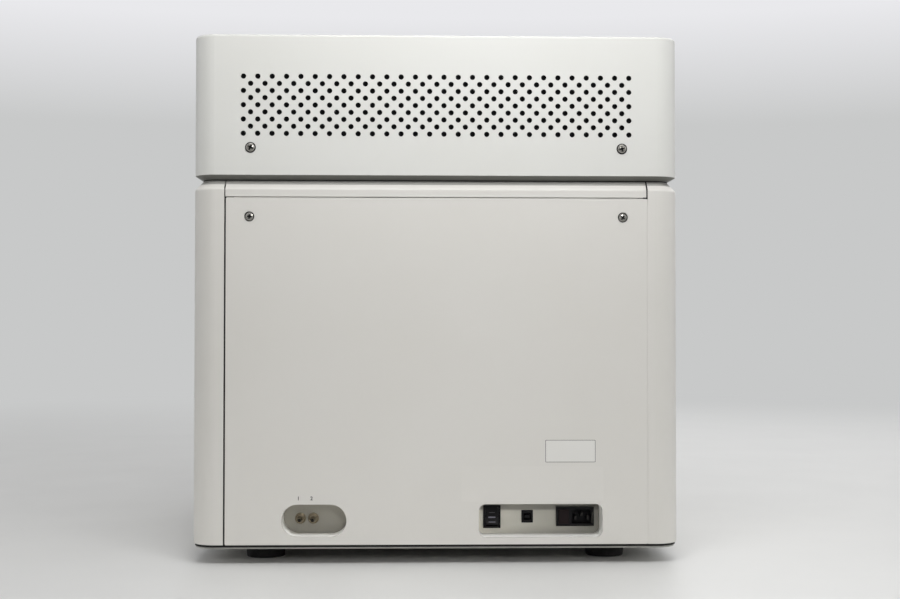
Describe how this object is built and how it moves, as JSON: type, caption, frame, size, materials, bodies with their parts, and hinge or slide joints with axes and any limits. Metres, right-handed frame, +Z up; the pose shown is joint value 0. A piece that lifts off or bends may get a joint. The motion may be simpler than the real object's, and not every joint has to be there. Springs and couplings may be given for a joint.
{
  "type": "cell analyzer",
  "caption": "Bench-top cell analyzer with vented hood, drop-down sample door, plate stage and rear connector bays.",
  "frame": {"origin": "on the table under the middle of the case", "axes": "+Z up, the rear with its vent grid and connector bays faces +Y, the sample door faces -Y"},
  "size_m": [0.546, 0.61, 0.5916],
  "materials": {
    "hood_paint": "fine textured light grey-white paint",
    "case_paint": "fine textured warm light grey paint",
    "base_paint": "light grey paint",
    "black_rubber": "matt black rubber",
    "zinc_steel": "zinc plated sheet steel",
    "screw_steel": "dark nickel plated steel",
    "aluminium": "brushed aluminium",
    "black_anodised": "black anodised",
    "bay_grey": "grey satin paint",
    "black_plastic": "black moulded plastic",
    "nickel_brass": "nickel plated brass",
    "door_plastic": "satin light grey moulding",
    "button_steel": "satin stainless steel",
    "chamber_white": "white powder coat",
    "foam": "open black filter foam",
    "hose": "translucent silicone hose",
    "board_green": "green circuit board"
  },
  "bodies": {
    "case": {"hood_shell": "hood_paint", "left_side_panel": "case_paint", "right_side_panel": "case_paint", "rear_panel": "case_paint", "rear_top_rail": "case_paint", "front_panel": "case_paint", "base_plate": "base_paint", "base_gasket": "black_rubber", "hood_gasket": "black_rubber", "foot_front_left": "black_rubber", "foot_front_right": "black_rubber", "foot_rear_left": "black_rubber", "foot_rear_right": "black_rubber", "chassis_pan": "zinc_steel", "chassis_frame": "zinc_steel", "top_deck": "zinc_steel", "hood_screws": "screw_steel", "rear_panel_screws": "screw_steel", "port_recess_tub": "case_paint", "port_plate": "aluminium", "switch_housing": "black_plastic", "data_port": "black_plastic", "inlet_housing": "black_plastic", "inlet_pins": "nickel_brass", "fluid_recess_tub": "bay_grey", "gas_fitting": "nickel_brass", "waste_fitting": "nickel_brass", "gas_tube": "hose", "waste_tube": "hose", "door_frame": "black_plastic", "door_hinge_pin": "screw_steel", "button_bezel": "button_steel", "optical_bench": "aluminium", "bench_posts": "aluminium", "stage_posts": "aluminium", "stage_base": "black_anodised", "chamber_shell": "chamber_white", "stage_rails": "screw_steel", "focus_column": "black_anodised", "filter_wheel_housing": "black_anodised", "camera": "black_anodised", "light_engine": "black_anodised", "power_supply": "zinc_steel", "control_board": "board_green", "vent_filter": "foam", "fan_frames": "black_plastic"},
    "door": {"sample_door": "door_plastic"},
    "rocker": {"switch_rocker": "black_plastic"},
    "fuse_tray": {"fuse_drawer": "black_plastic"},
    "button": {"power_button": "button_steel"},
    "carriage": {"stage_carriage": "black_anodised"},
    "nest": {"plate_nest": "aluminium"},
    "focus": {"focus_carriage": "black_anodised"},
    "turret": {"objective_turret": "black_anodised", "objectives": "button_steel"},
    "wheel": {"filter_wheel": "aluminium"},
    "fan_left": {"fan_rotor_left": "black_plastic"},
    "fan_right": {"fan_rotor_right": "black_plastic"}
  },
  "joints": [
    {"name": "door_hinge", "type": "hinge", "parent": "case", "child": "door", "pos_m": [0, -0.296, 0.2705], "axis": [1, 0, 0], "range_deg": [0, 90]},
    {"name": "rocker_pivot", "type": "hinge", "parent": "case", "child": "rocker", "pos_m": [-0.0634, 0.2715, 0.0487], "axis": [-1, 0, 0], "range_deg": [0, 16]},
    {"name": "fuse_slide", "type": "slide", "parent": "case", "child": "fuse_tray", "axis": [0, 1, 0], "range_m": [0, 0.018]},
    {"name": "button_press", "type": "slide", "parent": "case", "child": "button", "axis": [0, 1, 0], "range_m": [0, 0.0015], "stiffness_N_per_m": 300, "springref_m": -0.001},
    {"name": "stage_y", "type": "slide", "parent": "case", "child": "carriage", "axis": [0, 1, 0], "range_m": [0, 0.1]},
    {"name": "stage_x", "type": "slide", "parent": "carriage", "child": "nest", "axis": [1, 0, 0], "range_m": [-0.054, 0.054]},
    {"name": "focus_lift", "type": "slide", "parent": "case", "child": "focus", "axis": [0, 0, 1], "range_m": [0, 0.008]},
    {"name": "turret_turn", "type": "hinge", "parent": "focus", "child": "turret", "pos_m": [0, -0.064, 0.19], "axis": [0, 0, 1], "continuous": true},
    {"name": "wheel_turn", "type": "hinge", "parent": "case", "child": "wheel", "pos_m": [0, 0.048, 0.188], "axis": [0, 1, 0], "continuous": true},
    {"name": "fan_left_spin", "type": "hinge", "parent": "case", "child": "fan_left", "pos_m": [-0.105, 0.281, 0.5122], "axis": [0, 1, 0], "continuous": true},
    {"name": "fan_right_spin", "type": "hinge", "parent": "case", "child": "fan_right", "pos_m": [0.105, 0.281, 0.5122], "axis": [0, 1, 0], "continuous": true}
  ]
}
